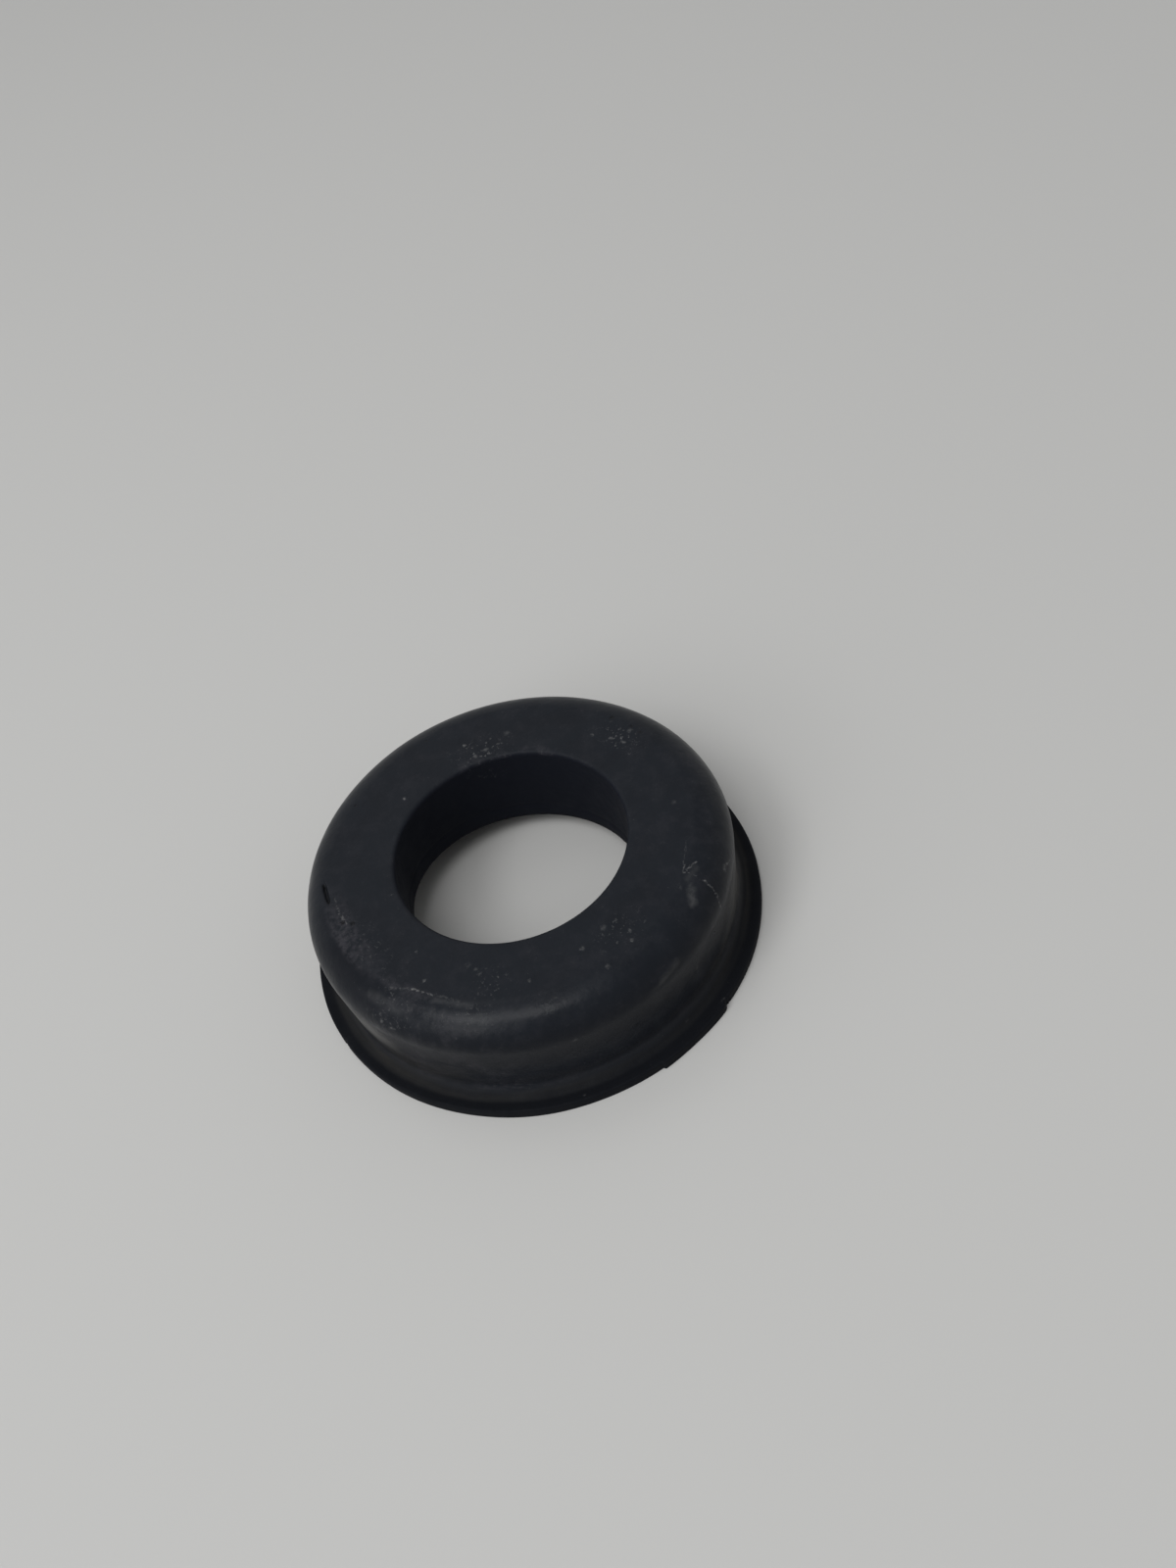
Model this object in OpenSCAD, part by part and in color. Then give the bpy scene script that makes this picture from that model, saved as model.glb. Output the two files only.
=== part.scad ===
// Coil spring pad: one moulded rubber ring that sits on the end coil of a spring.
// The coil lies in the ring-shaped channel underneath. A collar round the bore
// forms the inner wall of that channel, and a skirt with a flange the outer one.
// Z = 0 is the underside of the flange, and the Z axis is the ring's centre line.

/* [Body] */
// Height from the underside of the flange to the top face
pad_h = 34.2; // [30:0.2:50]
// Widest diameter of the body, where the round shoulder ends
body_d = 120.6; // [114:0.2:125]
// Diameter of the outer wall at its foot, on top of the flange
foot_d = 116.8; // [110:0.2:119]
// Radius of the round shoulder between the top face and the outer wall
shoulder_r = 10; // [3:0.2:14]

/* [Bore] */
// Diameter of the bore
bore_d = 65.2; // [50:0.2:72]
// Radius of the bore's rounded top edge
bore_edge_r = 1.2; // [0.4:0.1:3]

/* [Flange] */
// Outer diameter of the flange
flange_d = 130; // [127:0.5:150]
// Thickness of the flange
flange_t = 2.9; // [1.5:0.1:5]
// Radius of the flange's rounded upper edge
flange_edge_r = 0.6; // [0.2:0.1:1.2]
// Radius of the hollow corner between the flange and the outer wall
foot_fillet_r = 4; // [1:0.2:4.6]

/* [Spring channel] */
// Wall of the skirt at its foot, between the channel and the outer wall
skirt_wall = 5; // [3:0.2:7]
// Wall of the collar between the channel and the bore
collar_wall = 5; // [3:0.2:7]
// Rubber between the channel's roof and the top face
roof_t = 8; // [5:0.2:12]
// Radius of the two corners under the channel's roof
channel_corner_r = 4; // [1:0.2:5]

/* [Collar end] */
// Height of the middle of the collar's sloping lower end
collar_end_h = 11.2; // [8:0.2:14]
// Slope of the collar's lower end, in degrees
collar_slope = 9.8; // [0:0.2:11]
// Bearing of the collar's lowest point from the X axis, in degrees
collar_low_bearing = 37; // [0:0.5:360]

/* [Untrimmed flange edge] */
// How far the untrimmed stretch of the flange's edge stands proud
proud_w = 0.6; // [0.2:0.1:2]
// Bearing at which the untrimmed stretch starts, in degrees
proud_start = 284.5; // [0:0.5:360]
// Angle that the untrimmed stretch covers
proud_sweep = 23; // [5:0.5:90]

/* [Hidden] */
$fn = 144;

// How far a cutting shape runs past the faces that it cuts
cut_past = 1;

body_r = body_d / 2;
foot_r = foot_d / 2;
bore_r = bore_d / 2;
flange_r = flange_d / 2;

// Centre of the shoulder's arc in the section: [radius, height]
shoulder_centre = [body_r - shoulder_r, pad_h - shoulder_r];
// The outer wall runs from its foot to the shoulder's arc, which it touches.
foot_to_shoulder = shoulder_centre - [foot_r, flange_t];
wall_lean = atan2(foot_to_shoulder[0], foot_to_shoulder[1]) + asin(shoulder_r / norm(foot_to_shoulder));
// Where the wall meets the shoulder's arc
wall_top = shoulder_centre + shoulder_r * [cos(wall_lean), -sin(wall_lean)];

// Centre of the hollow corner's arc, which touches the flange and the wall
fillet_centre = [
    foot_r + foot_fillet_r * (tan(wall_lean) + 1 / cos(wall_lean)),
    flange_t + foot_fillet_r
];
// Where the hollow corner meets the wall
fillet_top = fillet_centre - foot_fillet_r * [cos(wall_lean), -sin(wall_lean)];

// The channel lies between the collar and the skirt, and ends under the roof.
collar_r = bore_r + collar_wall;
channel_r = foot_r - skirt_wall;
channel_h = pad_h - roof_t;

// A flat plate in the section, from the centre line to r, with its outer upper edge rounded
module rounded_plate(r, h, edge_r) {
    square([r - edge_r, h]);
    square([r, h - edge_r]);
    translate([r - edge_r, h - edge_r]) circle(edge_r);
}

// The body's filled section, from the centre line to the outer wall
module body_section() {
    polygon([[0, 0], [foot_r, 0], [foot_r, flange_t], wall_top, shoulder_centre, [0, shoulder_centre[1]]]);
    square([shoulder_centre[0], pad_h]);
    translate(shoulder_centre) circle(shoulder_r);
}

// The rubber in the hollow corner between the flange and the wall
module foot_fillet_section() {
    difference() {
        polygon([[foot_r, flange_t], [fillet_centre[0], flange_t], fillet_centre, fillet_top]);
        translate(fillet_centre) circle(foot_fillet_r);
    }
}

// The bore, with its top edge rounded
module bore_section() {
    translate([0, -cut_past]) square([bore_r, pad_h + 2 * cut_past]);
    difference() {
        translate([0, pad_h - bore_edge_r]) square([bore_r + bore_edge_r, bore_edge_r + cut_past]);
        translate([bore_r + bore_edge_r, pad_h - bore_edge_r]) circle(bore_edge_r);
    }
}

// The channel for the spring's end coil, open at the bottom
module channel_section() {
    translate([collar_r, -cut_past]) square([channel_r - collar_r, channel_h - channel_corner_r + cut_past]);
    translate([collar_r + channel_corner_r, 0])
        square([channel_r - collar_r - 2 * channel_corner_r, channel_h]);
    for (r = [collar_r + channel_corner_r, channel_r - channel_corner_r])
        translate([r, channel_h - channel_corner_r]) circle(channel_corner_r);
}

// The stretch of the flange's edge that was left standing when the rest was trimmed
module proud_edge() {
    rotate([0, 0, proud_start])
        rotate_extrude(angle = proud_sweep)
            difference() {
                rounded_plate(flange_r + proud_w, flange_t, flange_edge_r);
                square([foot_r, flange_t]);
            }
}

// Everything below the collar's sloping end
module collar_end_cut() {
    cut_h = channel_h;
    translate([0, 0, collar_end_h])
        rotate([0, collar_slope, collar_low_bearing])
            translate([0, 0, -cut_h])
                cylinder(h = cut_h, r = (collar_r + channel_r) / 2);
}

module spring_pad() {
    color("#23262a")
        difference() {
            union() {
                rotate_extrude()
                    difference() {
                        union() {
                            body_section();
                            rounded_plate(flange_r, flange_t, flange_edge_r);
                            foot_fillet_section();
                        }
                        bore_section();
                        channel_section();
                    }
                proud_edge();
            }
            collar_end_cut();
        }
}

spring_pad();
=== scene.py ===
"""Coil spring pad: one moulded rubber ring, lying on a plain pale floor.

The ring is swept round the Z axis from its section, with its small faults put in as it is
swept: a slit, a crease, a low ridge, slow ripples, the flange's uneven edge with its untrimmed
stretch, a nick and a dent. The wear and dust are in the rubber's own nodes, and so are a painted
sheen on the sides of the wall, a painted highlight along the bore's far edge and painted shade
on the left shoulder and in the slit. The ring's lengths are in millimetres until its mesh is
made, and the rest is in metres. Bearings are in degrees from +X, anticlockwise as seen from
above.
"""
import math

import bpy
import numpy as np
from mathutils import Matrix, Vector, noise


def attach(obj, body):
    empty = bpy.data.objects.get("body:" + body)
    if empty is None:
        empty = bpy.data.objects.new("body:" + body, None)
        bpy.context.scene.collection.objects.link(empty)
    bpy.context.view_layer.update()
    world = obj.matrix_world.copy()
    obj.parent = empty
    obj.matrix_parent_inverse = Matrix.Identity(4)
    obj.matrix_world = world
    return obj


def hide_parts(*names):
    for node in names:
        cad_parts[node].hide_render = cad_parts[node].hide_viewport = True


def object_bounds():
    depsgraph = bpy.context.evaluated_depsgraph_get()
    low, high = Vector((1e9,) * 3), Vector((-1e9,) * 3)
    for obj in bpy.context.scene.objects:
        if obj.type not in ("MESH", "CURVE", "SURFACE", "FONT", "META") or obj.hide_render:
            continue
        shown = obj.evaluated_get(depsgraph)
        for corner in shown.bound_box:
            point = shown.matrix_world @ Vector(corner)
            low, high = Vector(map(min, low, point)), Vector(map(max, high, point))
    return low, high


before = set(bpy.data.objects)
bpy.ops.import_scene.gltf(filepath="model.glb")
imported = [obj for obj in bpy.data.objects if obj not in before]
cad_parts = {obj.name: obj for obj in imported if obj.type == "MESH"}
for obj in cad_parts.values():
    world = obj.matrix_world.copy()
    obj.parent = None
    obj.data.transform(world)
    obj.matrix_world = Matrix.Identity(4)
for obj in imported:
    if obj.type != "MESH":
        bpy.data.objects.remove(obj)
cad_lo, cad_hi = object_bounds()

MM = 0.001

# ---------------------------------------------------------------- sizes, in mm
FLANGE_R = (cad_hi.x - cad_lo.x) / 2 / MM
PAD_H = cad_hi.z / MM
BODY_R = 60.3
FOOT_R = 58.4
SHOULDER_R = 10.0
BORE_R = 32.6
BORE_EDGE_R = 1.2
FLANGE_T = 2.9
FLANGE_EDGE_R = 0.6
FOOT_FILLET_R = 4.0
SKIRT_WALL = 5.0
COLLAR_WALL = 5.0
ROOF_T = 8.0
CHANNEL_CORNER_R = 4.0
COLLAR_END_H = 11.2
COLLAR_SLOPE = 9.8
COLLAR_LOW_BEARING = 37.0

SHOULDER_START_R = BODY_R - SHOULDER_R
COLLAR_R = BORE_R + COLLAR_WALL
CHANNEL_R = FOOT_R - SKIRT_WALL
ROOF_H = PAD_H - ROOF_T


# ---------------------------------------------------------------- small sums
def smooth(value, start, end):
    """0 at start, 1 at end, and a smooth step between them. start may be above end."""
    t = np.clip((value - start) / (end - start), 0, 1)
    return t * t * (3 - 2 * t)


def turn_between(bearing, other):
    """The angle from other to bearing, from -180 to 180 degrees."""
    return (bearing - other + 180) % 360 - 180


def lobe(bearing, centre, half_width):
    """1 at the centre bearing, falling smoothly to 0 half_width degrees to each side."""
    return smooth(np.abs(turn_between(bearing, centre)), half_width, 0)


def in_space(bearing, radius, height):
    """The x, y and z of one point, or of each point in arrays."""
    turn = np.radians(bearing)
    return np.stack([radius * np.cos(turn), radius * np.sin(turn), height], axis=-1)


def collar_end(bearing, radius):
    """Height of the collar's sloping lower end."""
    slope = math.tan(math.radians(COLLAR_SLOPE))
    return COLLAR_END_H - radius * slope * np.cos(np.radians(bearing - COLLAR_LOW_BEARING))


# ---------------------------------------------------------------- section
def line(start, end, count):
    """count evenly spaced points from start towards end, without end itself."""
    return [(start[0] + (end[0] - start[0]) * i / count,
             start[1] + (end[1] - start[1]) * i / count) for i in range(count)]


def arc(centre, radius, start, end, count):
    """count points along an arc, without its end. Angles are in degrees, 0 is outwards."""
    out = []
    for i in range(count):
        a = math.radians(start + (end - start) * i / count)
        out.append((centre[0] + radius * math.cos(a), centre[1] + radius * math.sin(a)))
    return out


def section(bearing):
    """The ring's closed section at a bearing, as (radius, height) points, outside first."""
    e, c, b = FLANGE_EDGE_R, CHANNEL_CORNER_R, BORE_EDGE_R
    shoulder = (SHOULDER_START_R, PAD_H - SHOULDER_R)
    # The wall rises from the foot and leans so that it touches the shoulder's circle.
    run, rise = shoulder[0] - FOOT_R, shoulder[1] - FLANGE_T
    lean = math.atan2(run, rise) + math.asin(SHOULDER_R / math.hypot(run, rise))
    lean_deg = math.degrees(lean)
    lean_cos, lean_sin = math.cos(lean), math.sin(lean)
    wall_top = (shoulder[0] + SHOULDER_R * lean_cos, shoulder[1] - SHOULDER_R * lean_sin)
    fillet_r = FOOT_R + FOOT_FILLET_R * (math.tan(lean) + 1 / lean_cos)
    fillet = (fillet_r, FLANGE_T + FOOT_FILLET_R)
    wall_end = (fillet[0] - FOOT_FILLET_R * lean_cos, fillet[1] + FOOT_FILLET_R * lean_sin)
    end_inside, end_outside = collar_end(bearing, BORE_R), collar_end(bearing, COLLAR_R)

    # Each piece ends where the next one starts. The last number is its count of points.
    points = line((BORE_R + b, PAD_H), (SHOULDER_START_R, PAD_H), 34)
    points += arc(shoulder, SHOULDER_R, 90, -lean_deg, 46)
    points += line(wall_top, wall_end, 26)
    points += arc(fillet, FOOT_FILLET_R, 180 - lean_deg, 270, 12)
    points += line((fillet[0], FLANGE_T), (FLANGE_R - e, FLANGE_T), 5)
    points += arc((FLANGE_R - e, FLANGE_T - e), e, 90, 0, 4)
    points += line((FLANGE_R, FLANGE_T - e), (FLANGE_R, 0), 4)
    points += line((FLANGE_R, 0), (CHANNEL_R, 0), 6)
    points += line((CHANNEL_R, 0), (CHANNEL_R, ROOF_H - c), 8)
    points += arc((CHANNEL_R - c, ROOF_H - c), c, 0, 90, 6)
    points += line((CHANNEL_R - c, ROOF_H), (COLLAR_R + c, ROOF_H), 4)
    points += arc((COLLAR_R + c, ROOF_H - c), c, 90, 180, 6)
    points += line((COLLAR_R, ROOF_H - c), (COLLAR_R, end_outside), 6)
    points += line((COLLAR_R, end_outside), (BORE_R, end_inside), 4)
    points += line((BORE_R, end_inside), (BORE_R, PAD_H - b), 32)
    points += arc((BORE_R + b, PAD_H - b), b, 180, 90, 8)
    return points


def outward(points):
    """The outward direction in the section at each point of each row."""
    along = np.roll(points, -1, axis=1) - np.roll(points, 1, axis=1)
    along /= np.linalg.norm(along, axis=2, keepdims=True)
    return np.stack([-along[:, :, 1], along[:, :, 0]], axis=2)


# ---------------------------------------------------------------- small faults in the shape
# The slit runs along the start of the shoulder and drifts inwards.
SLIT_FROM, SLIT_TO = 167.5, 176.5
SLIT_START_R, SLIT_END_R = 53.0, 51.7
SLIT_DEPTH = 1.1
SLIT_HALF_W = 0.95

# The crease in the bore's wall lies above the collar's end, highest at one bearing.
CREASE_H = 4.1
CREASE_SWING = 0.9
CREASE_HIGH_BEARING = 105
CREASE_DEPTH = 0.25
CREASE_HALF_W = 0.8

# The ridge climbs the shoulder: (bearing, height) at each end.
RIDGE_LOW, RIDGE_HIGH = (-73.0, 26.5), (-57.0, 28.6)
RIDGE_H = 0.30
RIDGE_HALF_W = 1.7

RIPPLE_DEPTH = 0.14
RIPPLE_LENGTH = 24.0

# The flange's edge was cut a little under its circle, deeper round one bearing.
EDGE_CUT = 0.13
EDGE_DEEPER_CUT = 0.12
EDGE_DEEPER_BEARING, EDGE_DEEPER_ANGLE = -137, 35
# Waves of the edge: depth, number round the ring and shift in degrees.
EDGE_WAVES = [(0.08, 3, 40), (0.05, 11, 0)]

# The edge stands proud where it was left untrimmed.
PROUD_W = 0.6
PROUD_FROM, PROUD_TO = -75.5, -52.5
PROUD_RAMP = 0.5

# The nick and the dent in the edge: bearing, depth and half their width in degrees.
NICK_BEARING, NICK_DEPTH, NICK_ANGLE = -53.4, 0.9, 1.3
DENT_BEARING, DENT_DEPTH, DENT_ANGLE = -163.5, 0.45, 1.2


def slit(bearing, radius, height):
    """Depth of the slit."""
    along = (bearing % 360 - SLIT_FROM) / (SLIT_TO - SLIT_FROM)
    middle_r = SLIT_START_R + (SLIT_END_R - SLIT_START_R) * along
    # The 0.01 keeps the division safe where the slit has no width.
    half_w = SLIT_HALF_W * np.sqrt(np.clip(4 * along * (1 - along), 0, 1)) + 0.01
    across = np.abs(radius - middle_r) / half_w
    inside = (along > 0) & (along < 1) & (height > PAD_H - SHOULDER_R)
    return SLIT_DEPTH * np.where(inside, smooth(across, 1.0, 0.2), 0)


def crease(bearing, radius, height):
    """Depth of the crease."""
    above_end = height - collar_end(bearing, BORE_R)
    crease_h = CREASE_H + CREASE_SWING * np.cos(np.radians(bearing - CREASE_HIGH_BEARING))
    on_bore = radius < BORE_R + 0.1
    depth = CREASE_DEPTH * smooth(np.abs(above_end - crease_h), CREASE_HALF_W, 0)
    return np.where(on_bore, depth, 0)


def ridge(bearing, radius, height):
    """Height of the ridge, which is measured out in the shoulder's surface rolled flat."""
    def rolled(some_bearing, some_height):
        lengths = np.broadcast_arrays(np.radians(some_bearing) * BODY_R, some_height)
        return np.stack(lengths, axis=-1)

    low, high = rolled(*RIDGE_LOW), rolled(*RIDGE_HIGH)
    here = rolled(bearing, height)
    along = np.clip(((here - low) @ (high - low)) / ((high - low) @ (high - low)), 0, 1)
    away = np.linalg.norm(here - low - along[..., None] * (high - low), axis=-1)
    faded = smooth(along, 0, 0.4) * smooth(along, 1, 0.5)
    on_shoulder = radius > SHOULDER_START_R + 2
    return RIDGE_H * faded * smooth(away, RIDGE_HALF_W, 0) * on_shoulder


def edge_growth(bearing):
    """How far the flange's edge stands out from its true circle, below 0 where it is cut under."""
    grow = -EDGE_CUT
    for depth, number, shift in EDGE_WAVES:
        grow = grow - depth * np.sin(np.radians(number * bearing + shift))
    grow -= EDGE_DEEPER_CUT * lobe(bearing, EDGE_DEEPER_BEARING, EDGE_DEEPER_ANGLE)
    untrimmed = smooth(bearing, PROUD_FROM, PROUD_FROM + PROUD_RAMP)
    untrimmed = untrimmed * smooth(bearing, PROUD_TO, PROUD_TO - PROUD_RAMP)
    proud = PROUD_W * (0.78 + 0.2 * np.sin(np.radians(14 * (bearing + 60))))
    grow = grow * (1 - untrimmed) + proud * untrimmed
    grow -= NICK_DEPTH * lobe(bearing, NICK_BEARING, NICK_ANGLE)
    return grow - DENT_DEPTH * lobe(bearing, DENT_BEARING, DENT_ANGLE)


def ripples(verts):
    """Slow unevenness of the rubber at each vertex, from 0 to 1."""
    out = np.empty(verts.shape[:2])
    for i, row in enumerate(verts):
        for j, point in enumerate(row):
            out[i, j] = 0.5 + 0.5 * noise.noise(Vector(point) / RIPPLE_LENGTH)
    return out


# ---------------------------------------------------------------- the ring's mesh
BEARING_STEP, FINE_BEARING_STEP = 0.9, 0.15


def ring_bearings():
    """The bearings of the ring's sections, closer together where its edge changes quickly."""
    fine = [
        (PROUD_FROM - 1, PROUD_FROM + 1.5),
        (PROUD_TO - 2.5, PROUD_TO + 1),
        (DENT_BEARING - 1.5, DENT_BEARING + 1.5),
    ]
    out = []
    bearing = -180.0
    while bearing < 180:
        out.append(bearing)
        near = any(start <= bearing < end for start, end in fine)
        bearing += FINE_BEARING_STEP if near else BEARING_STEP
    return np.array(out)


def ring_points():
    """The bearings and the (radius, height) points of the ring, one row for each section."""
    bearings = ring_bearings()
    points = np.array([section(b) for b in bearings])
    bearing = np.repeat(bearings[:, None], points.shape[1], axis=1)
    radius, height = points[:, :, 0], points[:, :, 1]

    # The underside, the channel and the edges of the flat faces keep their true form.
    body_side = (radius > SHOULDER_START_R) & (height > FLANGE_T + 0.01)
    ripple = RIPPLE_DEPTH * ripples(in_space(bearing, radius, height)) * body_side
    ripple *= smooth(radius, SHOULDER_START_R, SHOULDER_START_R + 3) * (radius > CHANNEL_R - 3)
    sunk = ripple + slit(bearing, radius, height) + crease(bearing, radius, height)
    sunk -= ridge(bearing, radius, height)
    points = points - outward(points) * sunk[:, :, None]

    flange_share = smooth(radius, FOOT_R + 1.5, FLANGE_R) * (height < FLANGE_T + 0.01)
    points[:, :, 0] += edge_growth(bearing) * flange_share
    return bearing, points


def closed_ring(name, verts):
    """A closed mesh object from rows of vertices in mm, joined into a ring of faces both ways."""
    rows, columns = verts.shape[:2]
    faces = []
    for i in range(rows):
        here, there = i * columns, (i + 1) % rows * columns
        for j in range(columns):
            k = (j + 1) % columns
            faces.append((here + j, here + k, there + k, there + j))
    mesh = bpy.data.meshes.new(name)
    mesh.from_pydata((verts.reshape(-1, 3) * MM).tolist(), [], faces)
    mesh.update()
    mesh.shade_smooth()
    obj = bpy.data.objects.new(name, mesh)
    bpy.context.collection.objects.link(obj)
    return obj


def add_mask(obj, name, values):
    """Keep a value, held to 0 to 1, at each vertex for the rubber's nodes to read."""
    layer = obj.data.attributes.new(name, "FLOAT", "POINT")
    layer.data.foreach_set("value", np.clip(values, 0, 1).astype(np.float32).ravel())


# ---------------------------------------------------------------- where the rubber is worn, and where sheen, highlight and shade are painted
def underneath(radius, height):
    """True in the channel and on the underside."""
    return (height < ROOF_H + 0.01) & (radius < CHANNEL_R + 0.01) | (height < 0.01)


def on_top(radius, height):
    """True on the top face and the shoulder."""
    return (height > PAD_H - SHOULDER_R) & ~underneath(radius, height)


def outside(radius):
    """True on the wall and the flange, and not in the channel."""
    return radius > FOOT_R - 0.6


def band(value, middle, outer, inner):
    """1 up to inner from the middle, and a smooth step to 0 at outer from it, on both sides."""
    return smooth(np.abs(value - middle), outer, inner)


# Each function from here to MASKS is a mask. It takes the bearing, radius and height of every
# vertex, and the rubber's nodes read what it gives, held to 0 to 1, by the function's name.
def hidden(bearing, radius, height):
    """The bore, the channel and the underside, which are matt and see little light."""
    in_bore = smooth(radius, BORE_R + 0.7 * BORE_EDGE_R, BORE_R)
    return np.maximum(in_bore, underneath(radius, height))


def bloom_and_shade_band(bearing, radius, height):
    """The bluish bloom on the top face, which thins out down the shoulder and is left off a band of
    the left shoulder as painted shade.
    """
    # A darker band on the left shoulder, painted shade.
    painted_shade_band = lobe(bearing, -160, 30) * band(radius, 55.5, 5, 2)
    return smooth(height, 24, 33.5) * (1 - 0.95 * painted_shade_band)


def greyed(bearing, radius, height):
    """The greyer, lower part of the wall."""
    return smooth(height, 19, 12) * outside(radius)


def dust_and_sheen(bearing, radius, height):
    """Pale dust and a painted sheen on the left and the right of the wall. The sheen stands for the
    floor's glancing reflection.
    """
    from_left = turn_between(bearing, -172)
    left = smooth(from_left, 38, 10) * smooth(from_left, -75, -10)
    left *= smooth(height, FLANGE_T + 1, 17)
    right = smooth(np.abs(turn_between(bearing, -4)), 58, 2)
    right *= 0.75 + 0.25 * smooth(height, 15, 9)
    right *= smooth(height, FLANGE_T - 1, 8)
    return (left + right) * smooth(height, 28, 18) * outside(radius)


def smoothed(bearing, radius, height):
    """Where the mould left the rubber smooth: the shoulder and the wall, most of all in front."""
    side = smooth(radius, SHOULDER_START_R - 2, SHOULDER_START_R + 1.5) * (height > FLANGE_T + 0.01)
    front = lobe(bearing, -112, 40) * band(height, PAD_H - 1.5, 4.5, 1)
    return side * (0.6 + 0.4 * front)


def dusty(bearing, radius, height):
    """Brownish dust that has settled low on the outer wall."""
    low = smooth(height, 22, 12) * smooth(radius, FOOT_R + 4.5, FOOT_R + 2) * outside(radius)
    sides = 0.7 * lobe(bearing, -148, 62) + 1.1 * lobe(bearing, -5, 60)
    foot = (0.3 + 1.2 * lobe(bearing, -13, 45)) * band(height, FLANGE_T + 3, 4.5, 1)
    return low * (sides + foot + 0.12)


def dark_flange(bearing, radius, height):
    """The flange and the lower part of the foot's fillet, made darker and matt."""
    return smooth(radius, FOOT_R + 0.2, FOOT_R + 2.0) * (height < FLANGE_T + 2.5)


def worn_and_highlit(bearing, radius, height):
    """How much the rubber has been handled: most on the shoulder and the left of the wall. Along
    the bore's far edge it also holds a painted highlight among real scuffs.
    """
    side = smooth(radius, SHOULDER_START_R + 1, SHOULDER_START_R + 5)
    left = lobe(bearing, -130, 38)
    right = lobe(bearing, -20, 45)
    clean = 1 - 0.8 * lobe(bearing, -158, 24)
    # The bore's far edge: scuffs, with a painted highlight along its rim.
    bore_edge_wear_and_highlight = 1.3 * lobe(bearing, 74, 42) * band(radius, BORE_R + 0.9, 2.2, 0.6)
    rubs = (0.34 + bore_edge_wear_and_highlight) * (1 - side) + side * clean * (0.25 + 0.6 * left + 0.3 * right)
    on_face = height > PAD_H - BORE_EDGE_R
    return rubs * np.where(on_face, 1, side * (height > FLANGE_T + 2))


def scuffed(bearing, radius, height):
    """Where the top face is scuffed grey."""
    left = lobe(bearing, -169, 23) * band(radius, 50.2, 4.2, 2.2)
    front_left = 0.7 * lobe(bearing, -140, 18) * band(radius, 51.0, 2.2, 0.5)
    shoulder = 0.6 * lobe(bearing, 7, 9) * band(radius, 55.5, 3, 1)
    return (left + front_left + shoulder) * on_top(radius, height)


def flecked(bearing, radius, height):
    """Where small white flecks lie close together."""
    by_bore = lobe(bearing, 87, 19) * band(radius, 37.5, 6, 2)
    far_right = lobe(bearing, 29, 15) * band(radius, 45.5, 5, 2)
    left = 0.3 * lobe(bearing, -160, 26) * band(radius, 48, 6, 3)
    shoulder = 0.5 * lobe(bearing, -140, 12) * band(radius, 56, 6, 3)
    front = 0.4 * lobe(bearing, -118, 14) * band(radius, 54, 5, 2)
    near = 0.6 * (lobe(bearing, -66, 14) + lobe(bearing, -112, 9)) * band(radius, 45, 6, 2)
    return (by_bore + far_right + left + shoulder + front + near) * on_top(radius, height)


MASKS = (hidden, dark_flange, bloom_and_shade_band, greyed, dust_and_sheen, smoothed, worn_and_highlit, dusty, scuffed, flecked)


def rubber_pad():
    """The ring with its masks, as the piece that stands for the CAD solid."""
    bearing, points = ring_points()
    radius, height = points[:, :, 0], points[:, :, 1]
    pad = closed_ring("rubber_pad", in_space(bearing, radius, height))
    for mask in MASKS:
        add_mask(pad, mask.__name__, mask(bearing, radius, height))
    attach(pad, "root")
    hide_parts("spring_pad")
    return pad


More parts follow.
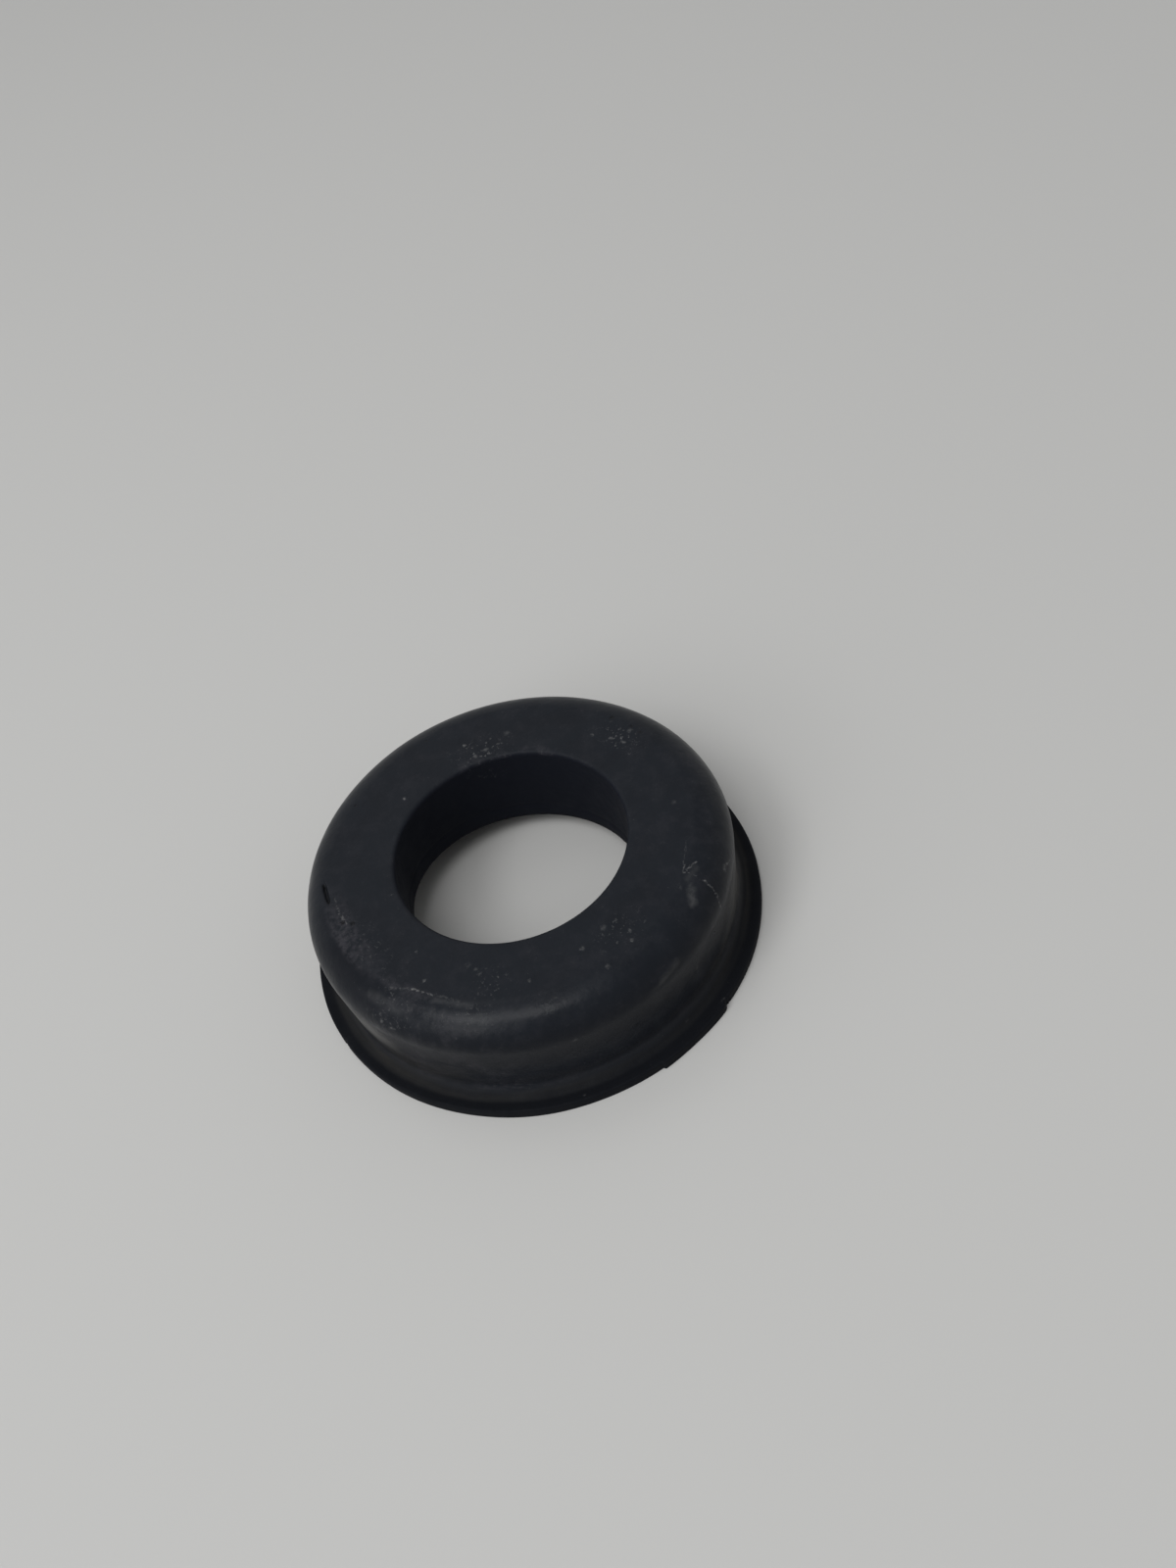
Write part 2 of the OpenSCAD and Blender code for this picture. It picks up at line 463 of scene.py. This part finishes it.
# ---------------------------------------------------------------- nodes
class Graph:
    """Short calls that add nodes to a material or a node group. Values are numbers or sockets."""

    def __init__(self, tree):
        self.tree = tree

    def plug(self, socket, value):
        if isinstance(value, bpy.types.NodeSocket):
            self.tree.links.new(value, socket)
        else:
            socket.default_value = value

    def node(self, kind, **settings):
        made = self.tree.nodes.new(kind)
        for name, value in settings.items():
            setattr(made, name, value)
        return made

    def math(self, operation, a, b=0.0, clamp=False):
        made = self.node("ShaderNodeMath", operation=operation, use_clamp=clamp)
        self.plug(made.inputs[0], a)
        self.plug(made.inputs[1], b)
        return made.outputs[0]

    def times(self, a, b, clamp=False):
        return self.math("MULTIPLY", a, b, clamp)

    def vector(self, operation, a, b=None, scale=None):
        made = self.node("ShaderNodeVectorMath", operation=operation)
        self.plug(made.inputs[0], a)
        if b is not None:
            self.plug(made.inputs[1], b)
        if scale is not None:
            self.plug(made.inputs["Scale"], scale)
        gives_number = operation in ("DOT_PRODUCT", "LENGTH", "DISTANCE")
        return made.outputs["Value" if gives_number else "Vector"]

    def step(self, value, start, end, low=0.0, high=1.0):
        """low at start, high at end, and a smooth step between them."""
        made = self.node("ShaderNodeMapRange", interpolation_type="SMOOTHSTEP")
        for socket, v in zip(made.inputs, (value, start, end, low, high)):
            self.plug(socket, v)
        return made.outputs["Result"]

    def noise(self, point, length, detail=2.0, roughness=0.5, extra=None):
        """Noise from about 0.3 to 0.7 whose features are about length apart, in the point's unit.

        extra is a fourth coordinate, in the same unit.
        """
        made = self.node("ShaderNodeTexNoise", noise_dimensions="3D" if extra is None else "4D")
        self.plug(made.inputs["Vector"], point)
        made.inputs["Scale"].default_value = 1 / length
        made.inputs["Detail"].default_value = detail
        made.inputs["Roughness"].default_value = roughness
        if extra is not None:
            self.plug(made.inputs["W"], extra)
        return made.outputs["Fac"]

    def mask(self, name):
        """One of MASKS."""
        return self.node("ShaderNodeAttribute", attribute_name=name).outputs["Fac"]

    def mix(self, share, a, b):
        """a where the share is 0, b where it is 1."""
        made = self.node("ShaderNodeMix", data_type="RGBA")
        self.plug(made.inputs["Factor"], share)
        for socket, colour in zip((made.inputs[6], made.inputs[7]), (a, b)):
            self.plug(socket, (*colour, 1) if isinstance(colour, tuple) else colour)
        return made.outputs[2]

    def total(self, values, operation="ADD"):
        """The values joined by an operation, one after the other."""
        out = values[0]
        for value in values[1:]:
            out = self.math(operation, out, value)
        return out


# ---------------------------------------------------------------- rubber
# Base colours, as linear light.
BLACK = (0.0055, 0.0067, 0.0100)
GREY = (0.0114, 0.0134, 0.0182)
BLOOM = (0.0082, 0.0104, 0.0148)
SHADED = (0.0050, 0.0064, 0.0112)
FLANGE_BLACK = (0.0034, 0.0042, 0.0064)
DUST = (0.034, 0.032, 0.028)
# Pale dust and painted sheen on the sides of the wall.
PALE_DUST_SHEEN = (0.110, 0.109, 0.106)
# Grey of scuffs and haze, also used for the painted highlight on the bore's far edge.
SCUFF_AND_HIGHLIGHT = (0.040, 0.039, 0.046)
CHALK = (0.22, 0.22, 0.22)
# Near black for the dark pits, and for the painted shade in the slit.
PIT_AND_SHADE_BLACK = (0.001, 0.001, 0.0012)

SPECULAR_LEVEL = 0.125
# The roughness where the rubber was moulded smooth, and elsewhere.
SMOOTH_ROUGHNESS, PLAIN_ROUGHNESS = 0.28, 0.46

# Scratches in the rubber: (bearing, radius, height) at each end, width and strength.
SCRATCHES = [
    ((-27.0, 49.0, 34.2), (-36.0, 49.6, 34.2), 0.35, 0.20),
    ((-38.5, 50.6, 34.2), (-34.0, 52.6, 34.0), 0.50, 0.50),
    ((-36.0, 49.8, 34.2), (-38.7, 50.4, 34.2), 0.45, 0.40),
    ((-38.5, 51.6, 34.1), (-38.5, 53.8, 33.6), 0.45, 0.28),
    ((-38.8, 55.6, 32.7), (-39.5, 58.2, 30.4), 0.45, 0.50),
    ((-39.5, 58.2, 30.4), (-41.0, 60.1, 26.2), 0.55, 0.52),
    ((-41.0, 60.1, 26.2), (-41.7, 60.2, 21.8), 0.55, 0.48),
    ((-31.5, 59.0, 29.4), (-27.5, 59.9, 27.0), 0.55, 0.46),
    ((-144.5, 53.0, 33.9), (-139.0, 51.0, 34.2), 0.70, 0.22),
    ((-139.0, 50.8, 34.2), (-134.8, 50.1, 34.2), 0.60, 0.65),
    ((-134.8, 50.1, 34.2), (-130.0, 50.3, 34.2), 0.50, 0.45),
    ((-129.0, 50.0, 34.2), (-121.0, 51.0, 34.2), 0.70, 0.14),
    ((-127.0, 51.4, 34.1), (-117.0, 51.8, 34.1), 0.70, 0.12),
    ((175.5, 49.9, 34.2), (-179, 49.7, 34.2), 0.50, 0.26),
    ((-179, 49.7, 34.2), (-173, 48.9, 34.2), 0.50, 0.40),
    ((-93.0, 53.2, 33.8), (-96.0, 53.8, 33.6), 0.50, 0.14),
    ((-118, 58.9, 7.4), (-106, 59.1, 6.0), 0.40, 0.07),
    ((-117, 59.0, 6.2), (-107, 59.4, 4.8), 0.40, 0.07),
    ((-53.4, 64.4, 2.9), (-55.2, 64.0, 2.9), 0.60, 0.14),
]

# Soft pale rubs, in the same form.
SMEARS = [
    ((-67.0, 60.0, 27.0), (-61.5, 59.6, 27.9), 1.7, 0.09),
    ((-43.6, 54.3, 33.4), (-46.4, 55.4, 32.8), 2.1, 0.24),
    ((-148.0, 56.0, 32.4), (-138.0, 56.2, 32.3), 2.2, 0.08),
    ((-129.0, 51.6, 34.1), (-117.0, 52.0, 34.1), 1.3, 0.07),
    ((-36.0, 53.0, 33.8), (-40.0, 52.2, 34.0), 1.8, 0.08),
]

# Small pale spots: bearing, radius, height, size across and strength.
SPOTS = [
    (-42.2, 53.4, 33.7, 2.2, 0.12),
    (-43.8, 50.6, 34.2, 2.0, 0.14),
    (-31.5, 59.2, 28.9, 2.2, 0.26),
    (-144.5, 40.4, 34.2, 0.9, 0.30),
    (-134.7, 47.0, 34.2, 1.0, 0.36),
    (-176.5, 35.0, 34.2, 0.9, 0.30),
    (-168.2, 35.0, 34.2, 0.9, 0.20),
    (-139.5, 59.7, 27.6, 1.2, 0.40),
    (-142.8, 59.4, 28.3, 1.2, 0.34),
    (128.0, 38.0, 34.2, 1.1, 0.60),
    (92.8, 41.3, 34.2, 1.1, 0.60),
    (90.2, 35.6, 34.2, 1.6, 0.30),
    (84.8, 36.8, 34.2, 1.6, 0.30),
    (74.8, 41.2, 34.2, 1.8, 0.16),
    (39.0, 42.5, 34.2, 1.1, 0.30),
    (31.3, 44.0, 34.2, 1.3, 0.36),
    (26.0, 44.6, 34.2, 1.4, 0.36),
    (28.0, 49.1, 34.2, 1.6, 0.26),
    (-10.0, 46.1, 34.2, 1.5, 0.12),
    (-92.5, 60.2, 23.5, 1.4, 0.18),
    (-99.8, 46.4, 34.2, 1.0, 0.26),
    (-117.0, 42.2, 34.2, 1.3, 0.24),
    (-118.8, 41.0, 34.2, 1.3, 0.20),
    (-122.0, 39.9, 34.2, 1.6, 0.14),
    (-80.0, 43.0, 34.2, 1.6, 0.26),
    (-69.5, 41.4, 34.2, 1.8, 0.18),
    (-66.5, 49.7, 34.2, 1.3, 0.34),
    (-64.5, 47.3, 34.2, 1.1, 0.22),
    (-76.8, 51.7, 34.1, 1.4, 0.20),
    (-55.5, 59.7, 17.4, 1.3, 0.20),
    (-55.0, 59.3, 12.8, 1.3, 0.14),
    (-95.0, 63.4, 2.9, 1.0, 0.18),
    (-63.8, 60.5, 3.5, 1.0, 0.20),
]

# Dark pits, in the same form.
PITS = [
    (37.0, 50.6, 34.2, 1.5, 1.0),
    (-174.2, 49.7, 34.2, 1.5, 0.9),
    (-172.0, 47.4, 34.2, 1.5, 0.8),
    (103.8, 50.3, 34.2, 1.1, 0.8),
    (137.2, 50.6, 34.2, 1.0, 0.8),
    (29.0, 50.7, 34.2, 1.2, 0.7),
    (24.5, 50.4, 34.2, 1.2, 0.7),
]

# Painted shade at the bottom of the slit, in the scratches' form.
SLIT_PAINTED_SHADE = [((SLIT_FROM + 1, 52.9, 33.2), (SLIT_TO - 1, 51.9, 33.4), SLIT_HALF_W, 0.9)]


def mark_group():
    """A node group that gives 1 on the line from Start to End and 0 beyond Width from it."""
    tree = bpy.data.node_groups.new("mark", "ShaderNodeTree")
    for name in ("Point", "Start", "End"):
        tree.interface.new_socket(name, in_out="INPUT", socket_type="NodeSocketVector")
    tree.interface.new_socket("Width", in_out="INPUT", socket_type="NodeSocketFloat")
    tree.interface.new_socket("Mark", in_out="OUTPUT", socket_type="NodeSocketFloat")
    g = Graph(tree)
    given = g.node("NodeGroupInput").outputs
    to_point = g.vector("SUBTRACT", given["Point"], given["Start"])
    to_end = g.vector("SUBTRACT", given["End"], given["Start"])
    along = g.math("DIVIDE", g.vector("DOT_PRODUCT", to_point, to_end),
                   g.vector("DOT_PRODUCT", to_end, to_end), clamp=True)
    nearest = g.vector("SCALE", to_end, scale=along)
    away = g.vector("DISTANCE", to_point, nearest)
    mark = g.step(g.math("DIVIDE", away, given["Width"]), 1.0, 0.0)
    g.plug(g.node("NodeGroupOutput").inputs["Mark"], mark)
    return tree


def marks(g, group, point, lines):
    """The strongest of the marks along the lines (start, end, width, strength) at a point."""
    strongest = 0.0
    for start, end, width, strength in lines:
        made = g.node("ShaderNodeGroup", node_tree=group)
        g.plug(made.inputs["Point"], point)
        made.inputs["Start"].default_value = in_space(*start)
        made.inputs["End"].default_value = in_space(*end)
        made.inputs["Width"].default_value = width
        strongest = g.math("MAXIMUM", strongest, g.times(made.outputs["Mark"], strength))
    return strongest


def dots(rows):
    """Spots or pits as lines of no length, a bit wide because a mark fades outwards."""
    return [(row[:3], row[:3], 0.7 * row[3], row[4]) for row in rows]


def shaken(g, point, length, reach):
    """The point, moved by noise by up to about reach, so that outlines there turn ragged."""
    wavy = g.node("ShaderNodeTexNoise")
    g.plug(wavy.inputs["Vector"], point)
    wavy.inputs["Scale"].default_value = 1 / length
    centred = g.vector("SUBTRACT", wavy.outputs["Color"], (0.5, 0.5, 0.5))
    return g.vector("ADD", point, g.vector("SCALE", centred, scale=2 * reach))


def specks(g, point, length, start, shift):
    """Ragged islands where noise of about that length rises past start.

    The noise is shifted, so that two kinds of specks don't fall on the same places.
    """
    moved = g.vector("ADD", point, (shift, 0, 0))
    return g.step(g.noise(moved, length, detail=4, roughness=0.7), start, start + 0.07)


# How fast the streaks' noise changes along x and y and with height. It is 1 with radius.
STREAK_ALONG = 0.07
STREAK_UP = 1 / 2.6


def coordinates(g):
    """The point in mm, and a point with a fourth coordinate for streaks round the ring."""
    metres = g.node("ShaderNodeTexCoord").outputs["Object"]
    point = g.vector("SCALE", metres, scale=1 / MM)
    parts = g.node("ShaderNodeSeparateXYZ")
    g.plug(parts.inputs[0], point)
    x, y, height = parts.outputs
    flat, streaky = g.node("ShaderNodeCombineXYZ"), g.node("ShaderNodeCombineXYZ")
    for socket, value in zip(flat.inputs, (x, y)):
        g.plug(socket, value)
    radius = g.vector("LENGTH", flat.outputs[0])
    slow_x, slow_y = g.times(x, STREAK_ALONG), g.times(y, STREAK_ALONG)
    for socket, value in zip(streaky.inputs, (slow_x, slow_y, radius)):
        g.plug(socket, value)
    return point, streaky.outputs[0], g.times(height, STREAK_UP)


def pale_marks(g, group, point, ragged, patchy, haze_and_highlight):
    """The scratches, spots, smears, flecks and specks: the strongest of them at each point.

    ragged is the point shaken for the spots, which the pits share.
    """
    broken = g.step(g.noise(point, 0.9, detail=3, roughness=0.7), 0.42, 0.60)
    scratches = marks(g, group, shaken(g, point, 1.5, 0.7), SCRATCHES)
    spots = marks(g, group, ragged, dots(SPOTS))
    smears = marks(g, group, shaken(g, point, 3.0, 1.0), SMEARS)
    open_rubber = g.math("SUBTRACT", 1, g.mask("hidden"))
    return g.total([
        g.times(scratches, broken),
        g.times(spots, g.step(patchy, 0.34, 0.52)),
        g.times(smears, g.step(patchy, 0.30, 0.60, 0.4, 1.0)),
        g.times(specks(g, point, 1.1, 0.58, 0), g.times(g.mask("flecked"), 0.40)),
        g.times(specks(g, point, 0.8, 0.60, 30), g.times(haze_and_highlight, 0.20)),
        g.times(specks(g, point, 1.3, 0.69, 60), g.times(open_rubber, 0.16)),
    ], "MAXIMUM")


def rubber_material():
    """Black rubber with its bloom, dust, scuffs and marks, and its painted sheen, highlight and
    shade.
    """
    mat = bpy.data.materials.new("rubber")
    mat.use_nodes = True
    g = Graph(mat.node_tree)
    shader = mat.node_tree.nodes["Principled BSDF"]

    point, streaky, streaky_height = coordinates(g)
    streaks = g.noise(streaky, 2.6, detail=3, roughness=0.6, extra=streaky_height)
    cloudy = g.noise(point, 11, detail=4, roughness=0.55)
    patchy = g.noise(point, 2.0, detail=4, roughness=0.65)
    hazy = g.noise(g.vector("ADD", point, (40, 0, 0)), 5.5, detail=6, roughness=0.7)
    grain = g.noise(point, 0.35, detail=2, roughness=0.6)

    # Colour, from the widest tones to the smallest marks.
    # The bloom, left off where the shoulder's shade is painted.
    bloom_less_shade = g.times(g.mask("bloom_and_shade_band"), g.step(cloudy, 0.28, 0.72, 0.6, 1.2), clamp=True)
    colour = g.mix(bloom_less_shade, BLACK, BLOOM)
    colour = g.mix(g.mask("greyed"), colour, GREY)
    colour = g.mix(g.mask("dark_flange"), colour, FLANGE_BLACK)
    colour = g.mix(g.mask("hidden"), colour, SHADED)
    dust = g.times(g.mask("dusty"), g.step(streaks, 0.30, 0.72))
    colour = g.mix(g.times(dust, 0.55), colour, DUST)
    # cloudy and streaks add up to about 1, and this spreads their sum out on both sides of it.
    uneven = g.math("SUBTRACT", g.times(g.math("ADD", cloudy, streaks), 1.8), 0.8)
    # Painted sheen and pale dust on the sides of the wall, in streaks.
    dust_sheen = g.step(g.times(g.mask("dust_and_sheen"), uneven), 0.05, 0.95)
    dust_sheen = g.times(dust_sheen, g.step(streaks, 0.25, 0.60, 0.6, 1.0))
    colour = g.mix(dust_sheen, colour, PALE_DUST_SHEEN)
    # Haze of handling, with a painted highlight along the bore's far edge.
    haze_and_highlight = g.times(g.mask("worn_and_highlit"), g.step(hazy, 0.42, 0.70))
    colour = g.mix(g.times(haze_and_highlight, 0.45), colour, SCUFF_AND_HIGHLIGHT)
    scuff = g.times(g.mask("scuffed"), g.step(patchy, 0.36, 0.66))
    colour = g.mix(g.times(scuff, 0.80), colour, SCUFF_AND_HIGHLIGHT)

    group = mark_group()
    ragged = shaken(g, point, 0.9, 0.9)
    chalky = pale_marks(g, group, point, ragged, patchy, haze_and_highlight)
    colour = g.mix(chalky, colour, CHALK)
    # The slit's bottom is painted dark as shade, in the pits' colour.
    slit_shade = marks(g, group, point, SLIT_PAINTED_SHADE)
    pits_and_slit_shade = g.math("MAXIMUM", marks(g, group, ragged, dots(PITS)), slit_shade)
    colour = g.mix(pits_and_slit_shade, colour, PIT_AND_SHADE_BLACK)
    g.plug(shader.inputs["Base Color"], colour)

    # Roughness: matt marks and dust on rubber whose gloss is uneven.
    matt = g.total([scuff, chalky, g.mask("hidden"), g.mask("dark_flange")], "MAXIMUM")
    rough = g.total([
        g.step(g.mask("smoothed"), 0, 1, PLAIN_ROUGHNESS, SMOOTH_ROUGHNESS),
        g.times(g.math("SUBTRACT", cloudy, 0.5), 0.22),
        g.times(g.math("SUBTRACT", hazy, 0.5), 0.36),
        g.times(dust, 0.12),
    ])
    rough = g.math("ADD", rough, g.times(matt, 0.33), clamp=True)
    g.plug(shader.inputs["Roughness"], rough)
    shader.inputs["Specular IOR Level"].default_value = SPECULAR_LEVEL

    # Heights in mm: fine grain, slow unevenness and pits. The pale marks are only colour.
    bumps = g.total([
        g.times(grain, 0.010),
        g.times(patchy, 0.030),
        g.times(hazy, 0.06),
        g.times(cloudy, 0.40),
        g.times(streaks, 0.030),
        g.times(pits_and_slit_shade, -0.15),
    ])
    bump = g.node("ShaderNodeBump")
    bump.inputs["Strength"].default_value = 1.0
    bump.inputs["Distance"].default_value = MM
    g.plug(bump.inputs["Height"], bumps)
    g.plug(shader.inputs["Normal"], bump.outputs["Normal"])
    return mat


pad = rubber_pad()
pad.data.materials.append(rubber_material())


# ---------------------------------------------------------------- floor
BACKGROUND = (0.56, 0.56, 0.55)
FLOOR_HALF_SIZE = 4.0
FLOOR_ROUGHNESS = 0.9
# How far from the pad the floor starts and ends to fade.
FADE_FROM, FADE_TO = 0.8, 2.4


def seen(g):
    """1 for the rays that the background is meant for: straight, reflected or let through."""
    rays = g.node("ShaderNodeLightPath").outputs
    kinds = ("Is Camera Ray", "Is Glossy Ray", "Is Transmission Ray")
    return g.total([rays[kind] for kind in kinds], "MAXIMUM")


def floor():
    """The floor, which fades into the background in the distance."""
    s = FLOOR_HALF_SIZE
    mesh = bpy.data.meshes.new("floor")
    mesh.from_pydata([(-s, -s, 0), (s, -s, 0), (s, s, 0), (-s, s, 0)], [], [(0, 1, 2, 3)])
    obj = bpy.data.objects.new("floor", mesh)
    bpy.context.collection.objects.link(obj)
    mat = bpy.data.materials.new("pale_floor")
    mat.use_nodes = True
    g = Graph(mat.node_tree)
    shader = mat.node_tree.nodes["Principled BSDF"]
    shader.inputs["Base Color"].default_value = (*BACKGROUND, 1)
    shader.inputs["Roughness"].default_value = FLOOR_ROUGHNESS
    far = g.node("ShaderNodeEmission")
    far.inputs["Color"].default_value = (*BACKGROUND, 1)
    away = g.vector("LENGTH", g.node("ShaderNodeTexCoord").outputs["Object"])
    mixed = g.node("ShaderNodeMixShader")
    share = g.times(g.step(away, FADE_FROM, FADE_TO), seen(g))
    for socket, value in zip(mixed.inputs, (share, shader.outputs[0], far.outputs[0])):
        g.plug(socket, value)
    g.plug(mat.node_tree.nodes["Material Output"].inputs["Surface"], mixed.outputs[0])
    mesh.materials.append(mat)


floor()

# ---------------------------------------------------------------- light
LIGHT_DISTANCE = 2.5

# Soft lamps: bearing and elevation in degrees, angle across in degrees, and power in watts.
# Together they are one broad light from the left, brightest in its middle.
LAMPS = [
    ("overhead", 0, 90, 24, 2.5),
    ("key_back", 110, 60, 24, 3.0),
    ("key_left", 194, 61, 24, 6.5),
    ("key_front", 242, 66, 24, 12.5),
    ("key_middle", 206, 52, 18, 7.5),
    ("low_left", 184, 22, 24, 3.0),
    ("low_front", 218, 36, 28, 8.5),
    ("window_low", 215, 18, 28, 4.5),
]
AMBIENT = 0.34


def lamp(name, bearing, elevation, across, power):
    """A round lamp at LIGHT_DISTANCE that faces the pad."""
    data = bpy.data.lights.new(name, "AREA")
    data.shape = "DISK"
    data.size = 2 * LIGHT_DISTANCE * math.tan(math.radians(across / 2))
    data.energy = power
    obj = bpy.data.objects.new(name, data)
    bpy.context.collection.objects.link(obj)
    b, e = math.radians(bearing), math.radians(elevation)
    towards = Vector((math.cos(b) * math.cos(e), math.sin(b) * math.cos(e), math.sin(e)))
    obj.location = towards * LIGHT_DISTANCE
    obj.rotation_euler = towards.to_track_quat("Z", "Y").to_euler()


def surroundings():
    """A dim even light, and a plain pale background for what is seen past the floor."""
    world = bpy.data.worlds.new("studio")
    bpy.context.scene.world = world
    world.use_nodes = True
    g = Graph(world.node_tree)
    ambient = world.node_tree.nodes["Background"]
    ambient.inputs["Color"].default_value = (1, 1, 1, 1)
    ambient.inputs["Strength"].default_value = AMBIENT
    pale = g.node("ShaderNodeBackground")
    pale.inputs["Color"].default_value = (*BACKGROUND, 1)
    mixed = g.node("ShaderNodeMixShader")
    for socket, value in zip(mixed.inputs, (seen(g), ambient.outputs[0], pale.outputs[0])):
        g.plug(socket, value)
    g.plug(world.node_tree.nodes["World Output"].inputs["Surface"], mixed.outputs[0])


for row in LAMPS:
    lamp(*row)
surroundings()

# ---------------------------------------------------------------- camera
# The camera stands in front of the pad, looks down at it, and is turned about its own axes.
CAMERA_DISTANCE = 0.4423
CAMERA_ELEVATION = math.radians(51.63)
CAMERA_ROLL = math.radians(-21.42)
CAMERA_PAN = math.radians(-1.885)
CAMERA_TILT = math.radians(-4.927)
CAMERA_LENS = 34.98
SENSOR_LONG_SIDE = 36.0


def camera():
    """The scene's camera."""
    data = bpy.data.cameras.new("camera")
    data.lens = CAMERA_LENS
    data.sensor_width = SENSOR_LONG_SIDE
    cam = bpy.data.objects.new("camera", data)
    bpy.context.collection.objects.link(cam)
    bpy.context.scene.camera = cam
    facing = Matrix.Rotation(math.pi / 2 - CAMERA_ELEVATION, 4, "X")
    # In the camera's own axes Y is up and Z is back, so roll and tilt turn the other way.
    turn = (Matrix.Rotation(CAMERA_ROLL, 4, "Z") @ Matrix.Rotation(CAMERA_PAN, 4, "Y")
            @ Matrix.Rotation(-CAMERA_TILT, 4, "X"))
    stand = Matrix.Translation((0, -CAMERA_DISTANCE * math.cos(CAMERA_ELEVATION),
                                CAMERA_DISTANCE * math.sin(CAMERA_ELEVATION)))
    cam.matrix_world = stand @ facing @ turn


camera()

bpy.context.scene.view_settings.view_transform = "Standard"
